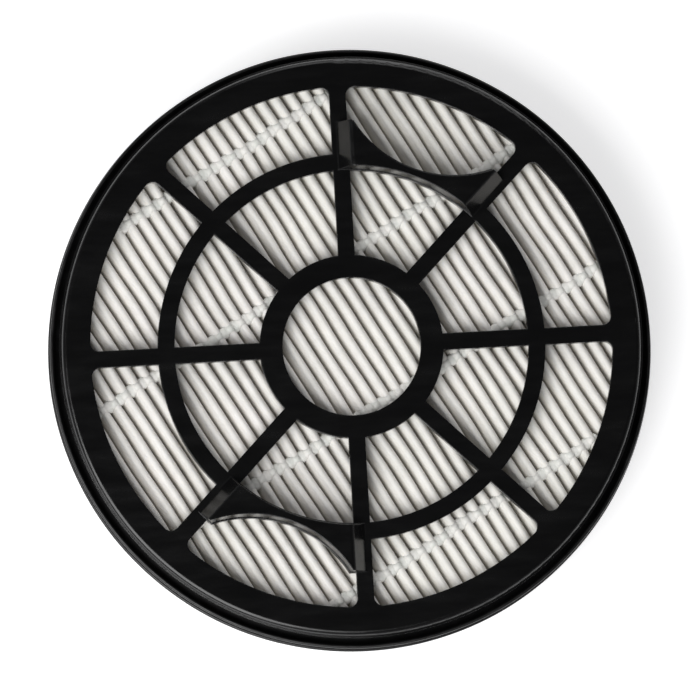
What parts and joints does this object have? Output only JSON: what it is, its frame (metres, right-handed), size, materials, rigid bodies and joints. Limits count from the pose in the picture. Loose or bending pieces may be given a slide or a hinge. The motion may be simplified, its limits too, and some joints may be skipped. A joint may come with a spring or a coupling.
{
  "type": "vacuum cleaner filter",
  "caption": "Round pleated filter cartridge for a vacuum cleaner: black frame with spoked grille and raised finger grips, rubber lip seal and white pleated media.",
  "frame": {"origin": "centre of the rear rim's flat face, on the part's axis", "axes": "+Z along the part's axis, out through the front grille; +X along a spoke of the grille"},
  "size_m": [0.133, 0.133, 0.0305],
  "materials": {
    "frame_plastic": "satin black moulded plastic",
    "seal_rubber": "smooth black rubber",
    "filter_media": "warm white fibrous sheet",
    "edge_glue": "cream potting adhesive",
    "bead_glue": "translucent off-white hot-melt glue"
  },
  "bodies": {
    "root": {"frame": "frame_plastic", "rim_seal": "seal_rubber", "pleated_media": "filter_media", "edge_adhesive": "edge_glue", "front_bead_1": "bead_glue", "front_bead_2": "bead_glue", "front_bead_3": "bead_glue", "front_bead_4": "bead_glue", "rear_bead_1": "bead_glue", "rear_bead_2": "bead_glue", "rear_bead_3": "bead_glue", "rear_bead_4": "bead_glue"}
  },
  "joints": []
}
